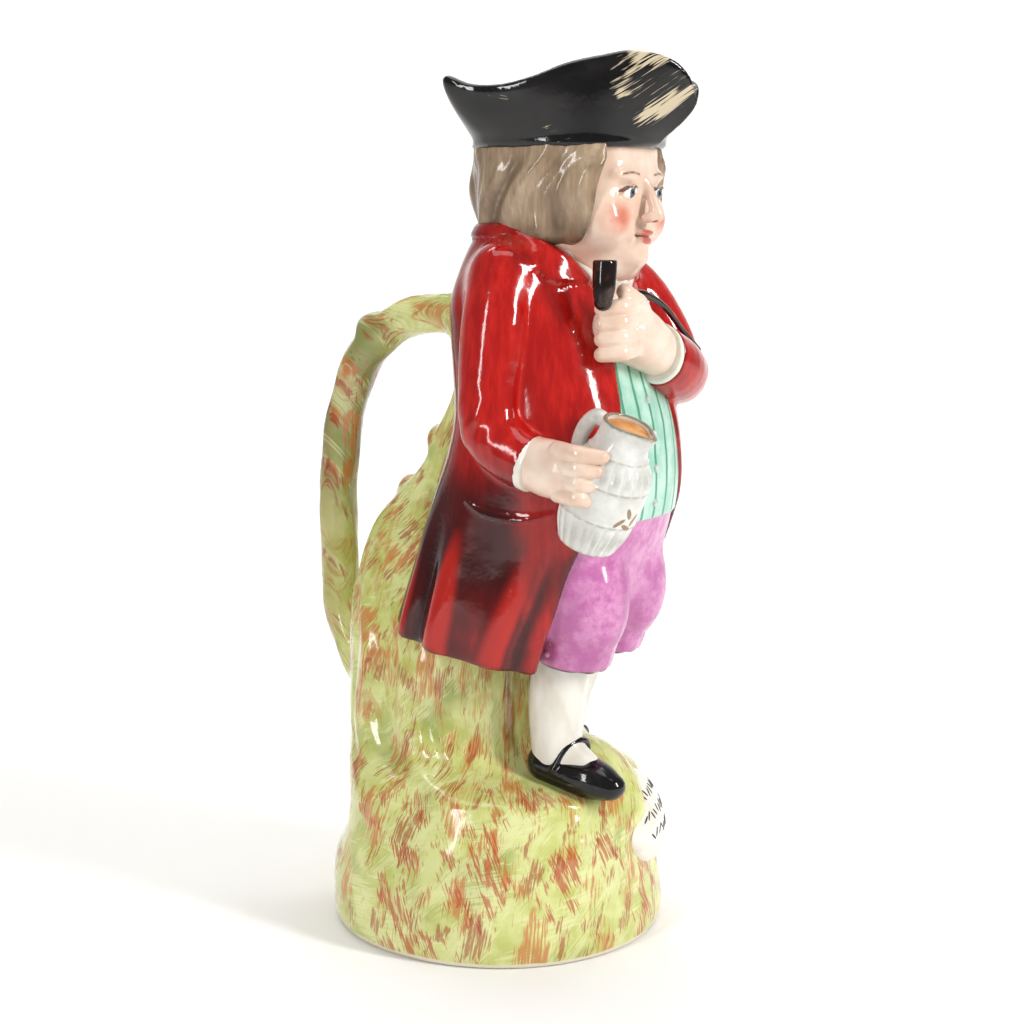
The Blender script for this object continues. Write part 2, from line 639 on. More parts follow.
body = clay.turned(coat_oval, body_stand_out)
body = trim(body, (106 - clay.z), 3.0)
right_knee = [[-13, -38, 134], [-14.8, -42.2, 117], [-14.5, -40, 106], [-13.9, -37.6, 95]]
left_knee = [[13.5, -37.6, 134], [14.9, -39.8, 117], [14.6, -36.2, 107.6], [14.2, -33, 96]]
knees = np.minimum(clay.limb(right_knee, [15, 15, 13.2, 12]), clay.limb(left_knee, [15, 14.8, 13.2, 12]))


def knee_hem(y):
    return 96.6 + 0.14 * (y + 30)


knees = trim(knees, knee_hem(clay.y) - clay.z, 2.4)
pleats = 0.16 * np.sin(clay.x * 1.15 + 0.02 * clay.z) * bump(clay.z, 97, 9) * (clay.y < -30)
body = blend(body, knees + pleats, 2.0)
body = trim(body, -(opening(clay) + 5.0), 1.0)


def body_marks(points):
    x, y, z = points.T
    return {"across": np.arctan2(x, -(y + 20)) * 42, "waist": z - WAIST, "hem": z - knee_hem(y)}


cloth = Paint("striped waistcoat and mauve breeches")
dip = cloth.mark("dip")
mauve = cloth.over(colour(0xBE6CA4), colour(0xD894C0), cloth.cloud(7, detail=6.0, rough=0.7).edge(0.38, 0.64))
mauve = cloth.over(mauve, colour(0xA6568C), cloth.cloud(19, (1, 1, 2), shift=6.0).edge(0.45, 0.72) * 0.6)
mauve = cloth.over(mauve, colour(0x7C4468), dip.edge(0.06, 0.7) * 0.85)
mauve = cloth.over(mauve, colour(0x35262C), 1.0 - cloth.mark("hem").edge(0.5, 1.1))
mint = cloth.over(colour(0x9ACDB6), colour(0xBFE2D2), cloth.cloud(8).edge(0.35, 0.7))
swing = cloth.mark("across") + (cloth.cloud(14, shift=8.0) - 0.5) * 2.0
stripe = swing.math("PINGPONG", swing, 4.0)
thin = 1.0 - (stripe + (cloth.cloud(2.2, (1, 1, 3), shift=3.0) - 0.5) * 0.7).edge(0.55, 0.95)
mint = cloth.over(mint, colour(0x3D8A6A), thin * 0.85)
mint = cloth.over(mint, colour(0x6FA58C), dip.edge(0.06, 0.6) * 0.7)
dressed = cloth.over(mauve, mint, cloth.mark("waist").edge(-0.1, 0.15))
cloth_glaze = cloth.glaze(dressed, 0.13)
piece_of("waistcoat_and_breeches", clay, body, cloth_glaze, hollow=hollow_body, marks=body_marks)


# The coat: skirts, sleeves, cuffs, turned collar and pocket welts. It is painted deep red by brush, so the
# red lies thick and dark in the folds and thin and bright on every edge.

HEM = 99.0
COAT_THICK = 1.9
LAPEL_THICK = 1.7
FOLD_FOOT = 107
folds = [  # degrees round from the front, lean, width and depth
    (57, 0.22, 3.8, -1.7), (66, 0.2, 8, 1.8), (97, -0.05, 8, 2.8), (111, -0.1, 6, -2.0), (122, -0.1, 6, 1.6),
    (134, -0.1, 6, -1.6),
]
clay = Clay([-58, -72, 88], [60, 36, 244], 0.95)


def coat_stand_out(angle, z):
    degrees = np.degrees(np.abs(angle))
    sway = 1.2 * np.sin(z / 21.0)
    total = 0
    for turn, lean, width, depth in folds:
        total = total + depth * bump(degrees, turn + sway - lean * (z - FOLD_FOOT), width)
    return COAT_THICK + (1 - smooth(z, FOLD_FOOT, 160)) * total


def coat_marks(points):
    z = points[:, 2]
    out = coat_stand_out(angle_round(coat_oval, *points.T), z) - COAT_THICK
    return {"fold": out * (1 - smooth(z, 140, 152))}


open_edge = opening(clay)
collar_top = 237.6 - 1.5 * smooth(-clay.y, 18, 28) - 6 * smooth(-clay.y, 26, 38) - 9 * smooth(-clay.y, 36, 45)
coat = clay.turned(coat_oval, coat_stand_out)
coat = trim(coat, open_edge, 1.6)
hem_height = HEM + 0.17 * (clay.y + 12)
coat = trim(coat, hem_height - clay.z, 1.8)
coat = trim(coat, clay.z - collar_top + 0.8, 1.6)
lapel_low = np.interp(-clay.y, [10, 19, 28, 33.4, 36, 38.5, 60], [233, 233, 228.6, 224, 220, 218.6, 218.6])
lapel = clay.turned(coat_oval, lambda angle, z: COAT_THICK + LAPEL_THICK + 0 * z)
lapel = trim(lapel, open_edge + 0.6, 1.2)
lapel = trim(lapel, (lapel_low - clay.z) * 0.8, 1.2)
lapel = trim(lapel, clay.z - collar_top, 1.6)
coat = blend(coat, lapel, 0.4)
for side in (-1, 1):
    welt = [[42.6, -15, 151], [42.8, -22, 147.2], [41.4, -34.5, 146], [37.2, -44.5, 148]]
    coat = blend(coat, clay.limb([[side * x, y, z] for x, y, z in welt], [0.5, 0.9, 0.9, 0.5]), 0.6)
right_sleeve = clay.limb(
    [[-30.9, -21.3, 221.2], [-36.4, -22.6, 204.1], [-40.1, -22.6, 185.5], [-40.9, -24.2, 173.8],
     [-41, -31.6, 167], [-41, -41, 163.2]],
    [10.5, 11.2, 9.8, 10, 9.5, 8.6],
)
left_sleeve = clay.limb(
    [[30.4, -21.6, 223.5], [36.6, -31.8, 212.9], [40.4, -39.6, 199.8], [39.8, -44, 189.8], [29.6, -51.4, 188],
     [16.8, -56.5, 191.4], [4, -57.4, 196.6]],
    [10.3, 10.6, 10.2, 10.4, 10.5, 10.3, 9.6],
)


def past_right_wrist(clay, y):
    """How far each point lies beyond a slanted cut across the right sleeve."""
    return y - clay.y - 0.28 * (clay.z - 164)


def past_left_wrist(clay, x):
    """How far each point lies beyond a slanted cut across the left sleeve."""
    return x - clay.x + 0.15 * (clay.z - 196)


right_end = trim(right_sleeve, past_right_wrist(clay, -39.3), 0.8)
left_end = trim(left_sleeve, past_left_wrist(clay, 5.6), 0.8)
elbow = bump(clay.z, 176, 8) * bump(clay.y, -22, 9) * (clay.x < 0)
creases = 0.4 * np.sin(clay.z / 2.2 + clay.y / 1.7) * elbow
creases = creases + 0.4 * np.sin(clay.x / 2.0 - clay.z / 1.8) * bump(clay.x, 36, 7) * bump(clay.z, 190, 9)
sleeves = np.minimum(right_end, left_end) + creases
coat = blend(coat, sleeves, 1.1 + 4.5 * smooth(clay.z, 207, 221))

scarlet = Paint("brushed red coat")
dip = scarlet.mark("dip")
brushed = scarlet.cloud(3, (1, 1, 6), detail=5.0, rough=0.65, shift=2.0)
red = scarlet.over(colour(0xA3120F), colour(0xC02019), brushed.edge(0.35, 0.7))
low = 1.0 - scarlet.axis(2).edge(HEM + 4, 176.0)
deep = scarlet.cloud(22, (1, 1, 1.8), shift=5.0) + low * 0.3
red = scarlet.over(red, colour(0x4A0708), deep.edge(0.5, 0.8) * 0.85)
behind = (scarlet.axis(1) + scarlet.cloud(18, shift=15.0) * 16.0).edge(-14.0, 14.0)
red = scarlet.over(red, colour(0x3A0506), behind * 0.75)
shade_height = scarlet.axis(2).edge(112.0, 132.0) * (1.0 - scarlet.axis(2).edge(150.0, 170.0))
under_arm = (scarlet.axis(1) + scarlet.cloud(16, shift=35.0) * 12.0).edge(-42.0, -20.0) * shade_height
red = scarlet.over(red, colour(0x2C0506), under_arm * 0.85)
valley = (scarlet.mark("fold") * -1.0 + (scarlet.cloud(5, (1, 1, 4), shift=25.0) - 0.5) * 0.8).edge(0.1, 1.3)
red = scarlet.over(red, colour(0x2A0405), valley * 0.85)
red = scarlet.over(red, colour(0xC4251C), scarlet.mark("fold").edge(0.5, 1.6) * 0.8)
red = scarlet.over(red, colour(0x2C0506), dip.edge(0.04, 0.5) * 0.85)
red = scarlet.over(red, colour(0xCF3A2E), (dip * -1.0).edge(0.1, 0.5) * 0.7)
piece_of("coat", clay, coat, scarlet.glaze(red, 0.08), hollow=hollow_body, marks=coat_marks)


# The head: a calm, plain face with rosy cheeks, modelled in the mould with the wig around it.

clay = Clay([-32, -66, 212], [32, 8, 266], 0.6)
HEAD_TOP = 262.5
head = clay.turned(head_oval)
head = trim(head, (217 - clay.z), 2.0)
head = trim(head, (clay.z - HEAD_TOP), 0.6)
BROW, EYES, NOSE, MOUTH, CHIN = 251.4, 246.6, 238.6, 233.2, 225.2
EYE_SIDE = 8.8
for side in (-1, 1):
    head = blend(head, clay.egg([side * 12.5, -45.5, 238.6], [8.2, 9.0, 8.6]), 5.0)
    head = blend(head, clay.egg([side * 8.6, -52.4, BROW + 0.8], [6.4, 2.6, 1.6]), 3.0)
    head = trim(head, -clay.egg([side * EYE_SIDE, -57.9, EYES + 0.2], [4.7, 3.2, 2.6]), 2.5)
    head = blend(head, clay.egg([side * EYE_SIDE, -52.7, EYES], [3.8, 2.9, 2.2]), 0.4)
    lid = [[4.9, -54.8, EYES + 0.1], [EYE_SIDE, -56.0, EYES + 2.2], [12.9, -53.9, EYES + 0.1]]
    head = blend(head, clay.limb([[side * x, y, z] for x, y, z in lid], [0.4, 0.6, 0.4]), 0.6)
    head = blend(head, clay.egg([side * 2.3, -57.0, NOSE + 0.3], [1.6, 2.2, 1.5]), 1.0)
    head = blend(head, clay.egg([side * 5.6, -52.4, MOUTH], [1.4, 1.6, 1.6]), 1.6)
bridge = clay.limb([[0, -54.2, BROW], [0, -57.2, 245.6], [0, -59.4, NOSE + 1.2]], [1.6, 1.7, 2.2])
head = blend(head, bridge, 2.0)
head = blend(head, clay.egg([0, -54.5, MOUTH + 1.15], [5.0, 2.5, 1.15]), 0.6)
head = blend(head, clay.egg([0, -54.0, MOUTH - 1.25], [4.1, 2.5, 1.3]), 0.6)
head = blend(head, clay.egg([0, -49.4, CHIN + 2.0], [7.0, 6.0, 4.6]), 4.0)
head = blend(head, clay.egg([0, -42.5, 222.5], [11.5, 7.6, 5.0]), 5.0)


def face_marks(points):
    x, y, z = points.T
    side = np.abs(x)
    front = smooth(-y, 30, 38)

    def spot(px, pz, width, height):
        return (1 - np.sqrt(((side - px) / width) ** 2 + ((z - pz) / height) ** 2)) * front

    def line(away, curve, thick, half, fade):
        """A painted line along a curve, which fades out past half its length from its middle."""
        return (1.1 - np.abs(z - curve) / thick - np.maximum(0, away - half) * fade) * front

    from_eye = np.abs(side - EYE_SIDE)
    return {
        "cheek": spot(13.5, 239.0, 8.0, 7.0),
        "eyeball": spot(EYE_SIDE, EYES, 3.8, 2.0),
        "iris": spot(EYE_SIDE, EYES + 0.1, 1.7, 1.9),
        "pupil": spot(EYE_SIDE, EYES + 0.1, 0.8, 0.9),
        "brow": line(from_eye, BROW + 1.5 - 0.035 * from_eye**2, 0.55, 4.4, 2),
        "lid": line(from_eye, EYES + 2.0 - 0.10 * from_eye**2, 0.34, 4.0, 3),
        "lips": np.maximum(spot(0, MOUTH + 1.05, 4.8, 1.4), spot(0, MOUTH - 1.2, 3.9, 1.5)),
        "parting": line(side, MOUTH - 0.05 + 0.02 * side**2, 0.34, 4.9, 3),
        "nostril": spot(1.6, NOSE - 0.7, 0.8, 0.55) * smooth(-y, 55, 57),
    }


flesh = Paint("flesh glaze")
skin = flesh.over(colour(0xE3C4AE), colour(0xEFDBCA), flesh.cloud(12).edge(0.35, 0.7))
skin = flesh.over(skin, colour(0xB97F5E), flesh.mark("dip").edge(0.04, 0.5) * 0.75)
blush = flesh.mark("cheek") + (flesh.cloud(4, shift=3.0) - 0.5) * 0.5
skin = flesh.over(skin, colour(0xD0694F), blush.edge(0.0, 0.95) * 0.85)
skin = flesh.over(skin, colour(0xF2ECE2), flesh.mark("eyeball").edge(0.0, 0.12))
skin = flesh.over(skin, colour(0x4F616C), flesh.mark("iris").edge(0.0, 0.15))
skin = flesh.over(skin, colour(0x161414), flesh.mark("pupil").edge(0.0, 0.2))
skin = flesh.over(skin, colour(0x50382A), flesh.mark("lid").edge(0.0, 0.5) * 0.9)
skin = flesh.over(skin, colour(0x6B4A34), flesh.mark("brow").edge(0.0, 0.9) * 0.85)
skin = flesh.over(skin, colour(0xBD4B41), flesh.mark("lips").edge(0.0, 0.3) * 0.85)
skin = flesh.over(skin, colour(0x7A2C28), flesh.mark("parting").edge(0.0, 0.6) * 0.9)
skin = flesh.over(skin, colour(0xA5523B), flesh.mark("nostril").edge(0.0, 0.4) * 0.8)
flesh_glaze = flesh.glaze(skin, 0.12)
piece_of("head", clay, head, flesh_glaze, hollow=hollow_body, marks=face_marks)


# The wig: hair in soft heavy locks from under the hat down to the collar, washed over in fawn so that the
# colour gathers between the locks.


def wig_stand_out(angle, z):
    degrees = np.degrees(np.abs(angle))
    drift = degrees + 7 * np.sin(z / 7.0 + degrees / 40) + 3 * np.sin(z / 3.9 + degrees / 19)
    locks = 0.95 * np.sin(np.radians(drift * 9.2) + 0.6) + 0.4 * np.sin(np.radians(drift * 15.1) + z / 9)
    rolls = 0.4 * np.sin(z / 4.2 + degrees / 11) * np.sin(degrees / 8.5 + z / 13)
    strands = np.sin(np.radians(drift * 47) + z / 4.0) * 0.1
    under_hat = 1 - 0.75 * smooth(z, 254, 261)
    by_face = 1.6 * (1 - smooth(degrees, 52, 66))
    return 1.9 + (by_face + locks + rolls) * under_hat + strands + 0.9 * bump(z, 233, 4)


def wig_marks(points):
    return {"wave": wig_stand_out(angle_round(head_oval, *points.T), points[:, 2])}


clay = Clay([-34, -60, 222], [34, 12, 266], 0.66)
wig = clay.turned(head_oval, wig_stand_out)
degrees = np.degrees(np.abs(np.arctan2(clay.x / 25.5, -(clay.y + 25) / 29)))
temple = 37.5 + 0.55 * np.maximum(0, 257 - clay.z) + 0.8 * np.sin(clay.z / 4.3)
wig = trim(wig, (temple - degrees) * 0.5, 2.0)
wig_low = 230.6 - 1.0 * smooth(-clay.y, 34, 44) + 0.6 * np.sin(clay.x / 3 + clay.y / 4)
wig = trim(wig, wig_low - clay.z, 2.5)
wig = trim(wig, clay.z - HEAD_TOP, 0.6)
wig = trim(wig, -(clay.turned(head_oval) + 1.8), 0.6)
hair = Paint("fawn wash")
locks = hair.over(colour(0xA38B70), colour(0xBFA98E), hair.cloud(1.2, (1, 1, 8), detail=4.0).edge(0.3, 0.8))
locks = hair.over(locks, colour(0x7D674E), hair.cloud(12, (1, 1, 2), shift=4.0).edge(0.42, 0.7) * 0.75)
behind = (hair.axis(1) + hair.cloud(9, shift=7.0) * 14.0).edge(-16.0, 10.0)
under = 1.0 - (hair.axis(2) + hair.cloud(7, shift=9.0) * 6.0).edge(235.0, 244.0)
locks = hair.over(locks, colour(0x6A523B), behind.most(under) * 0.7)
valley = 1.0 - (hair.mark("wave") + hair.cloud(6, (1, 1, 2), shift=11.0) - 0.5).edge(0.6, 2.4)
locks = hair.over(locks, colour(0x66503C), valley * 0.75)
locks = hair.over(locks, colour(0x4F3D2D), hair.mark("dip").edge(0.02, 0.4) * 0.85)
locks = hair.over(locks, colour(0xD8C6AC), (hair.mark("dip") * -1.0).edge(0.06, 0.3) * 0.5)
piece_of("wig", clay, wig, hair.glaze(locks, 0.16), marks=wig_marks)


# The hat: a black cocked hat with its brim turned up on three sides. It is the jug's mouth, so it is thin,
# open and glazed black inside too, and the black has worn through to cream at the front.

HAT_FOOT = 260.5
HAT_MIDDLE = -25.7
rim_rows = along([
    [0, 277.3, 48.2], [5, 282.7, 47.7], [9, 285.6, 46.5], [15, 287.9, 44.1], [24, 289.4, 39.7],
    [40, 288, 33.8], [60, 285.6, 31.8], [80, 281.7, 32.8], [98, 279.7, 35.8], [110, 280.2, 40.8],
    [119, 282.7, 44.3], [128, 280.2, 40.3], [142, 278.7, 33.3], [160, 278.3, 29.8], [180, 278.3, 29.3],
])
FAR_DROOP = 7  # how much lower the brim stands beside the spout on the man's left
FLARE = 1.45
clay = Clay([-49, -80, 254], [49, 16, 293], 0.7)
hx, hy = clay.x, clay.y - HAT_MIDDLE
degrees = np.degrees(np.arctan2(hx, -hy))
rim, wide = rim_rows(np.abs(degrees))
rim = rim - FAR_DROOP * bump(degrees, 22, 18)
wide = wide - 3.5 * bump(degrees, 16, 12)
front, back, half, middle, square = head_oval(264.0)
foot_reach = np.where(clay.y < middle, middle - front, back - middle)
ray = np.sqrt(hx**2 + hy**2)
foot_share = (np.abs(hx / half) ** square + np.abs((clay.y - middle) / foot_reach) ** square) ** (1 / square)
foot_radius = ray / np.maximum(foot_share, 1e-4) + 1.5
share = np.clip((clay.z - HAT_FOOT) / (rim - HAT_FOOT), 0, 1)
skin_radius = foot_radius + (wide - foot_radius) * np.sin(share * FLARE) / math.sin(FLARE)
roll = 0.8 * bump(clay.z, HAT_FOOT + 1.2, 1.4)
outer = even(ray - skin_radius - roll, clay.step)
inner = even(ray - skin_radius + WALL - 0.6, clay.step)
hat = trim(outer, clay.z - rim, 2.4)
hat = trim(hat, HAT_FOOT - clay.z, 0.8)
hat = trim(hat, -inner, 2.2)


def hat_marks(points):
    return laid_flat(points - [0, HAT_MIDDLE, 0], around=38.0)


beaver = Paint("worn black hat")
dip = beaver.mark("dip")
smoky = beaver.cloud(9, (2, 2, 1), detail=5.0).edge(0.4, 0.75)
black = beaver.over(colour(0x070607), colour(0x1E1B1B), smoky)
dry = strokes_of(beaver, 0.5, 16, 82, 7.0, patch=9.0)
front_side = (beaver.axis(1) * -1.0 + beaver.cloud(9, shift=19.0) * 10.0).edge(49.0, 64.0)
worn_zone = front_side * beaver.axis(2).edge(264.0, 273.0)
worn = (dry + worn_zone * 0.36 - dip * 0.1).edge(0.98, 1.08)
black = beaver.over(black, colour(0xDCCCAC), worn * 0.85)
black = beaver.over(black, colour(0xB39B78), (dip * -1.0 + (dry - 0.6) * 0.6).edge(0.4, 0.56) * 0.6)
piece_of("hat", clay, hat, beaver.glaze(black, 0.08, wear=worn * 0.4), marks=hat_marks)


# Shirt: the neckcloth between the lapels and the thin edges of the two shirt cuffs, left white.

clay = Clay([-30, -60, 204], [30, -14, 238], 0.6)
linen = clay.turned(coat_oval, lambda angle, z: 0.5 + 1.3 * bump(z, 220, 8) + 0 * z)
linen = trim(linen, (208 - clay.z), 1.0)
linen = trim(linen, clay.z - 235 - 0.3 * (clay.y + 36), 2.0)
linen = blend(linen, clay.egg([0, -41.5, 221], [12, 7.5, 7]), 3.0)
tucks = 0.45 * np.sin(clay.x * 0.9 + clay.z * 0.35 * np.sign(clay.x))
linen = trim(linen + tucks, -(opening(clay) + 0.4), 1.5)
piece_of("neckcloth", clay, linen, bare_white, hollow=hollow_body)
clay = Clay([-54, -70, 150], [24, -18, 212], 0.7)
right_cuff = clay.limb([[-41, -34, 165.6], [-41.1, -44, 162.2]], [9.0, 8.6])
right_cuff = trim(right_cuff, past_right_wrist(clay, -40.8), 0.7)
left_cuff = clay.limb([[9, -57.3, 194.4], [1.0, -57.3, 198.2]], [9.4, 9.2])
left_cuff = trim(left_cuff, past_left_wrist(clay, 3.6), 0.7)
piece_of("shirt_cuffs", clay, np.minimum(right_cuff, left_cuff), bare_white)


# Hands: plain rounded hands with the fingers closed. The right grips the little jug, and the left holds the
# pipe against the chest.

clay = Clay([-56, -74, 146], [-30, -30, 180], 0.45)
hand = clay.limb([[-41, -37, 164.6], [-42.2, -47, 163], [-42.8, -54, 162.6]], [7.4, 8.2, 7.0], flat=1.1)
for i in range(4):
    z = 169.6 - 4.5 * i
    finger = [[-45.6, -51, z], [-47.9, -58.6, z - 0.5], [-45.2, -66 + 1.7 * i, z - 1.4]]
    hand = blend(hand, clay.limb(finger, [2.75, 2.65, 2.2]), 0.35)
piece_of("right_hand", clay, hand, flesh_glaze)
clay = Clay([-32, -70, 186], [14, -42, 224], 0.45)
hand = clay.limb([[4, -57.2, 197.2], [-7.6, -56, 202.4], [-14.8, -53.4, 205.4]], [7.6, 8.8, 7.6], flat=1.1)
for i in range(4):
    z = 212.8 - 4.7 * i
    finger = [[-12.4, -59.4, z], [-20.4, -58.4, z - 1], [-24.2, -53.4, z - 1.6]]
    hand = blend(hand, clay.limb(finger, [2.8, 2.75, 2.4]), 0.35)
thumb = clay.limb([[-5, -57.5, 206], [-11.5, -59.4, 212], [-18.5, -58.2, 216.4]], [3.6, 3.1, 2.6])
hand = blend(hand, thumb, 1.0)
piece_of("left_hand", clay, hand, flesh_glaze)


# The pipe: a stubby brown bowl above the fist and a stem that slants down over the far sleeve.

clay = Clay([-32, -66, 190], [42, -36, 230], 0.45)
bowl = clay.limb([[-26.1, -54.9, 213.4], [-25.7, -55, 219], [-25.2, -55, 225.8]], [2.8, 3.6, 3.8])
bowl = trim(bowl, clay.z - 226.2, 0.8)
bowl = trim(bowl, -clay.limb([[-25.3, -55.2, 222.6], [-25.2, -55.2, 229]], [2.3, 2.5]), 0.5)
stem = clay.limb(
    [[-19, -56.5, 212.6], [-11, -58.6, 215.6], [-3.5, -59.4, 214.2], [7, -59.4, 210.2], [19.7, -58.6, 202.8],
     [30.4, -59.2, 196]], [1.5, 1.2, 1.0, 0.9])


def clouded_glaze(name, dark, light, size, low, high, gloss):
    """A plain glaze in one colour that clouds a little from a darker to a lighter tone."""
    paint = Paint(name)
    tone = paint.over(colour(dark), colour(light), paint.cloud(size).edge(low, high))
    return paint.glaze(tone, gloss)


briar = clouded_glaze("dark brown pipe", 0x160B07, 0x3F2113, 4, 0.45, 0.75, 0.08)
piece_of("pipe", clay, np.minimum(bowl, stem), briar)


# The little jug: fluted round its foot and shoulder, with a spout, a loop handle and a gilt sprig, and full
# of ale.

CUP_HEIGHT = 42.0
CUP_WIDTH = 25.6
cup_rows = along([
    [0, 0.34], [0.06, 0.36], [0.25, 0.45], [0.45, 0.5], [0.62, 0.47], [0.76, 0.37], [0.87, 0.32], [1, 0.31],
])
cup_lean, cup_turn = math.radians(23), math.radians(-8)
cup_foot = np.array([-32.5, -53.0, 139.0])


def into_cup(x, y, z):
    """Places as they lie in the little jug's own frame, with its foot at the origin."""
    x, y, z = x - cup_foot[0], y - cup_foot[1], z - cup_foot[2]
    c, s = math.cos(cup_turn), math.sin(cup_turn)
    x, y = c * x + s * y, c * y - s * x
    c, s = math.cos(cup_lean), math.sin(cup_lean)
    return x, c * y + s * z, c * z - s * y


clay = Clay([-54, -88, 132], [-12, -38, 188], 0.42)
u, v, w = into_cup(clay.x, clay.y, clay.z)
share = np.clip(w / CUP_HEIGHT, 0, 1)
turn = np.arctan2(u, -v)
fluted = bump(share, 0.14, 0.12) + bump(share, 0.66, 0.085)
ribs = 1.0 * np.abs(np.sin(turn * 10)) ** 0.7 * fluted
lines = 0.4 * sum(bump(w, up * CUP_HEIGHT, 0.6) for up in (0.29, 0.56, 0.77))
lip = 3.0 * smooth(share, 0.8, 1.0) * bump(turn, 0, 0.42)
radius = cup_rows(share)[0] * CUP_WIDTH + ribs + lines + lip
outer = even(np.sqrt(u * u + v * v) - radius, clay.step)
cup = trim(trim(outer, w - CUP_HEIGHT, 0.9), -w, 1.2)
cup = trim(cup, -trim(outer + 1.4, 0.9 * CUP_HEIGHT - w, 0.6), 0.6)


def cup_place(behind, share_up):
    """A place behind the little jug's axis, in the whole jug's frame."""
    y, z = behind, share_up * CUP_HEIGHT
    c, s = math.cos(cup_lean), math.sin(cup_lean)
    y, z = c * y - s * z, c * z + s * y
    c, s = math.cos(cup_turn), math.sin(cup_turn)
    return np.array([-s * y, c * y, z]) + cup_foot


loop = ((8, 0.92), (12, 0.91), (14.8, 0.78), (14.4, 0.6), (9.5, 0.47))
cup = blend(cup, clay.limb([cup_place(*spot) for spot in loop], [2.3, 2.6, 2.5, 2.2, 2.0]), 1.4)


def cup_marks(points):
    u, v, w = into_cup(*points.T)
    sideways = np.arctan2(u, -v) * 12.0
    leaf = np.full(len(u), -9.0)
    for a, b, lean in ((-2.0, 0.42, 0.5), (1.2, 0.36, -0.3), (-1.0, 0.30, 1.1), (-4.2, 0.34, -0.8)):
        p, q = sideways - a, w - b * CUP_HEIGHT
        c, s = math.cos(lean), math.sin(lean)
        leaf = np.maximum(leaf, 1 - np.sqrt(((c * p + s * q) / 0.9) ** 2 + ((c * q - s * p) / 2.5) ** 2))
    ring = 1 - np.abs(w - 0.995 * CUP_HEIGHT) / 0.7
    return {"sprig": leaf, "gilt": ring}


cream = Paint("cream jug with a gilt sprig")
tone = cream.over(colour(0xD2D2CB), colour(0xE6E7E2), cream.cloud(7).edge(0.35, 0.7))
tone = cream.over(tone, colour(0x8B8675), cream.mark("dip").edge(0.02, 0.22) * 0.7)
tone = cream.over(tone, colour(0x8E6A38), cream.mark("sprig").edge(0.0, 0.25) * 0.9)
gilt = cream.mark("gilt") + (cream.cloud(3, shift=2.0) - 0.5) * 1.6
tone = cream.over(tone, colour(0x74603C), gilt.edge(0.3, 0.8) * 0.7)
piece_of("little_jug", clay, cup, cream.glaze(tone, 0.1), marks=cup_marks)
ale_form = trim(outer + 1.0, w - 0.965 * CUP_HEIGHT, 0.3)
ale_form = trim(ale_form, 0.89 * CUP_HEIGHT - w, 0.3)
amber = clouded_glaze("amber ale", 0xC47A2E, 0xDFA45E, 6, 0.35, 0.7, 0.06)
piece_of("ale", clay, ale_form, amber)


# Buttons and the strokes on the plaque: small dabs of clay or colour, pressed on one after another. The
# waistcoat's run down its middle, three close each knee, and the strokes stand in rows.


def dabs(name, places, width, thick, material, long=1.0):
    """Small domed dabs, each at a spot of its own and turned to face out of the surface there."""
    spots, turns = map(np.array, zip(*places))
    tree = bpy.data.node_groups.new(name, "GeometryNodeTree")
    tree.interface.new_socket("Spots", in_out="INPUT", socket_type="NodeSocketGeometry")
    wide_input = tree.interface.new_socket("Width", in_out="INPUT", socket_type="NodeSocketFloat")
    thick_input = tree.interface.new_socket("Thickness", in_out="INPUT", socket_type="NodeSocketFloat")
    long_input = tree.interface.new_socket("Length", in_out="INPUT", socket_type="NodeSocketFloat")
    tree.interface.new_socket("Dabs", in_out="OUTPUT", socket_type="NodeSocketGeometry")

    def add(kind, values=(), **settings):
        node = tree.nodes.new(kind)
        for key, value in settings.items():
            setattr(node, key, value)
        for key, value in dict(values).items():
            if isinstance(value, bpy.types.NodeSocket):
                tree.links.new(value, node.inputs[key])
            else:
                node.inputs[key].default_value = value
        return node

    start = add("NodeGroupInput")
    ball = add("GeometryNodeMeshUVSphere", {"Segments": 14, "Rings": 8, "Radius": 0.5})
    size = add("ShaderNodeCombineXYZ", {
        0: start.outputs["Width"], 1: start.outputs["Length"], 2: start.outputs["Thickness"],
    })
    turn = add("GeometryNodeInputNamedAttribute", {"Name": "turn"}, data_type="FLOAT_VECTOR")
    placed = add("GeometryNodeInstanceOnPoints", {
        "Points": start.outputs["Spots"], "Instance": ball.outputs["Mesh"],
        "Rotation": turn.outputs["Attribute"], "Scale": size.outputs[0],
    })
    real = add("GeometryNodeRealizeInstances", {0: placed.outputs[0]})
    shaded = add("GeometryNodeSetShadeSmooth", {0: real.outputs[0]})
    painted = add("GeometryNodeSetMaterial", {0: shaded.outputs[0], "Material": material})
    end = add("NodeGroupOutput")
    tree.links.new(painted.outputs[0], end.inputs[0])
    mesh = bpy.data.meshes.new(name)
    mesh.from_pydata([tuple(0.001 * c for c in spot) for spot in spots.tolist()], [], [])
    turned = mesh.attributes.new("turn", "FLOAT_VECTOR", "POINT")
    turned.data.foreach_set("vector", turns.astype(np.float32).ravel())
    piece = bpy.data.objects.new(name, mesh)
    bpy.context.collection.objects.link(piece)
    grown = piece.modifiers.new("dabs", "NODES")
    grown.node_group = tree
    for socket, value in ((wide_input, width), (thick_input, thick), (long_input, width * long)):
        grown[socket.identifier] = value * 0.001
    done = bpy.data.meshes.new_from_object(piece.evaluated_get(bpy.context.evaluated_depsgraph_get()))
    piece.modifiers.clear()
    piece.data = done
    done.materials.clear()
    done.materials.append(material)
    ride(piece)
    return piece


def facing(normal, roll=0.0):
    """The turn that points a dab's thickness along a normal, after it has rolled about that by so much."""
    aim = Vector(normal).normalized().to_track_quat("Z", "Y")
    return tuple((aim @ Quaternion((0, 0, 1), roll)).to_euler())


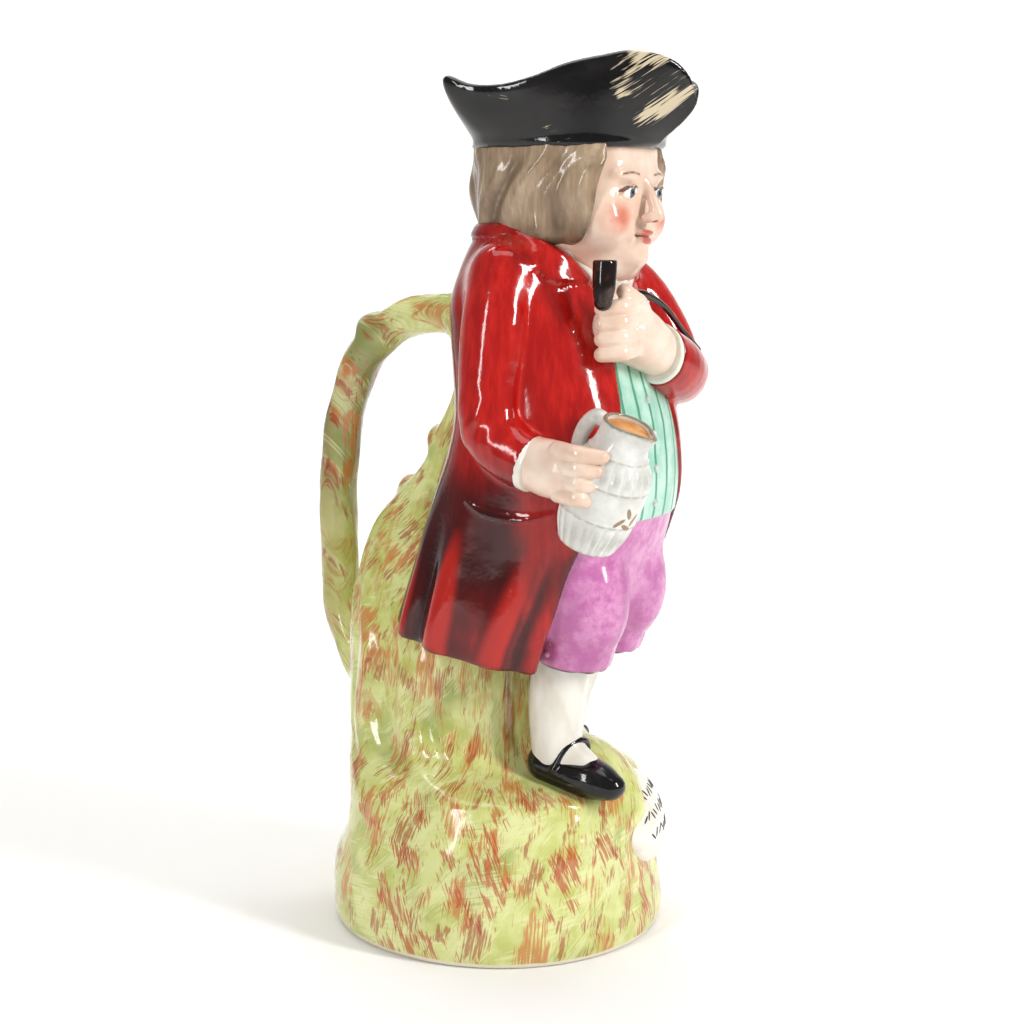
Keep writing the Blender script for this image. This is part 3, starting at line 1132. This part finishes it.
buttons = []
for z in (148.5, 159.5, 170.5, 181.5, 192.5):
    front = float(coat_oval(z)[0])
    buttons.append(([0.0, front - 0.9, z], facing((0, -1, 0.1))))
pearl = clouded_glaze("pearl grey button", 0xB9BEBB, 0xD5D8D3, 2, 0.4, 0.6, 0.12)
dabs("waistcoat_buttons", buttons, 2.8, 1.8, pearl)
knee = []
for i in range(3):
    knee.append(([-26.0 - 0.4 * i, -35.6 - 1.8 * i, 100.8 + 4.1 * i], facing((-0.95, -0.3, 0.05))))
    knee.append(([26.6 + 0.2 * i, -31.6 - 1.4 * i, 102.6 + 4.1 * i], facing((0.95, -0.3, 0.05))))
rose = clouded_glaze("mauve button", 0xC47AA8, 0xD89AC0, 2, 0.4, 0.6, 0.12)
dabs("knee_buttons", knee, 2.7, 2.2, rose)

strokes = []
wide, deep, high = PLAQUE_HALVES
chance = np.random.default_rng(7)
c, s = math.cos(plaque_turn), math.sin(plaque_turn)
lean_c, lean_s = math.cos(plaque_lean), math.sin(plaque_lean)


def out_of_plaque(across, out, up):
    """A way given in the plaque's own face, as a way in the whole jug's frame."""
    y, z = -out * lean_c + up * lean_s, up * lean_c + out * lean_s
    return np.array([c * across - s * y, s * across + c * y, z])


for row, count in ((6.5, 10), (0.0, 12), (-6.5, 10)):
    for i in range(count):
        across = (i - (count - 1) / 2) * 2.4 + chance.uniform(-0.4, 0.4)
        up = row + chance.uniform(-0.6, 0.6)
        out = deep * math.sqrt(max(0.0, 1 - (across / wide) ** 2 - (up / high) ** 2))
        normal = out_of_plaque(across / wide**2, out / deep**2, up / high**2)
        spot = out_of_plaque(across, out, up) + plaque_middle
        strokes.append((spot, facing(normal, chance.uniform(-0.9, 0.9))))
ink = clouded_glaze("black enamel strokes", 0x151214, 0x2C2729, 1.5, 0.4, 0.6, 0.2)
dabs("plaque_strokes", strokes, 0.8, 0.4, ink, long=4.4)


# The table, the light and the camera. The floor is a pale sheet that curves up behind. Soft boxes light the
# jug from the left, the right and above, and one more box lights the sheet behind it.

sheet = bpy.data.meshes.new("floor")
bend = [(0.9 + 0.5 * math.sin(a), 0.5 - 0.5 * math.cos(a)) for a in np.linspace(0.1, 1.57, 14)]
run = [(-1.4, 0.0), (0.9, 0.0), *bend, (1.4, 2.2)]
view_turn = math.radians(33)
ahead = Vector((math.cos(view_turn), math.sin(view_turn), 0))
across = Vector((math.sin(view_turn), -math.cos(view_turn), 0))
corners = [ahead * d + across * w + Vector((0, 0, h)) for d, h in run for w in (-2.2, 2.2)]
strips = [(2 * i, 2 * i + 1, 2 * i + 3, 2 * i + 2) for i in range(len(run) - 1)]
sheet.from_pydata([tuple(p) for p in corners], [], strips)
floor = bpy.data.objects.new("floor", sheet)
bpy.context.collection.objects.link(floor)
paper = bpy.data.materials.new("pale paper")
paper.use_nodes = True
paper_shader = paper.node_tree.nodes["Principled BSDF"]
paper_shader.inputs["Base Color"].default_value = colour(0xF4F3F1)
paper_shader.inputs["Roughness"].default_value = 0.9
sheet.materials.append(paper)
for face in sheet.polygons:
    face.use_smooth = True


def soft_box(name, place, target, size, power, tint=(1, 1, 1)):
    lamp = bpy.data.lights.new(name, "AREA")
    lamp.shape = "RECTANGLE"
    lamp.size, lamp.size_y = size
    lamp.energy = power
    lamp.color = tint
    box = bpy.data.objects.new(name, lamp)
    box.location = place
    box.rotation_euler = (Vector(target) - Vector(place)).to_track_quat("-Z", "Y").to_euler()
    bpy.context.collection.objects.link(box)


middle = Vector((0, 0, 0.15))
soft_box("right_box", middle - ahead * 0.55 + across * 0.95 + Vector((0, 0, 0.55)), middle, (0.13, 0.6), 11)
soft_box("left_box", middle - ahead * 0.75 - across * 0.6 + Vector((0, 0, 0.35)), middle, (0.1, 0.7), 4.0)
soft_box("top_box", middle + ahead * 0.1 + Vector((0, 0, 1.1)), middle, (0.9, 0.9), 6)
soft_box("back_box", middle + ahead * 0.45 + Vector((0, 0, 0.95)), middle + ahead * 1.5, (0.9, 0.6), 9)
world = bpy.data.worlds.new("studio")
world.use_nodes = True
background = world.node_tree.nodes["Background"]
background.inputs[0].default_value = (1, 1, 1, 1)
background.inputs[1].default_value = 0.26
bpy.context.scene.world = world
bpy.context.scene.view_settings.view_transform = "Standard"

PICTURE = 1024  # pixels across, as the next two are
FOCAL_LENGTH = 1849
SHIFT = 13
CAMERA_AWAY = 0.621
CAMERA_UP = 0.2352
view = bpy.data.cameras.new("view")
view.sensor_width = 36
view.lens = FOCAL_LENGTH / PICTURE * view.sensor_width
view.shift_x = SHIFT / PICTURE
view.clip_start = 0.01
camera = bpy.data.objects.new("view", view)
camera.location = -ahead * CAMERA_AWAY + Vector((0, 0, CAMERA_UP))
fall = math.radians(8.67)
aim = ahead * math.cos(fall) - Vector((0, 0, math.sin(fall)))
camera.rotation_euler = aim.to_track_quat("-Z", "Y").to_euler()
bpy.context.collection.objects.link(camera)
bpy.context.scene.camera = camera
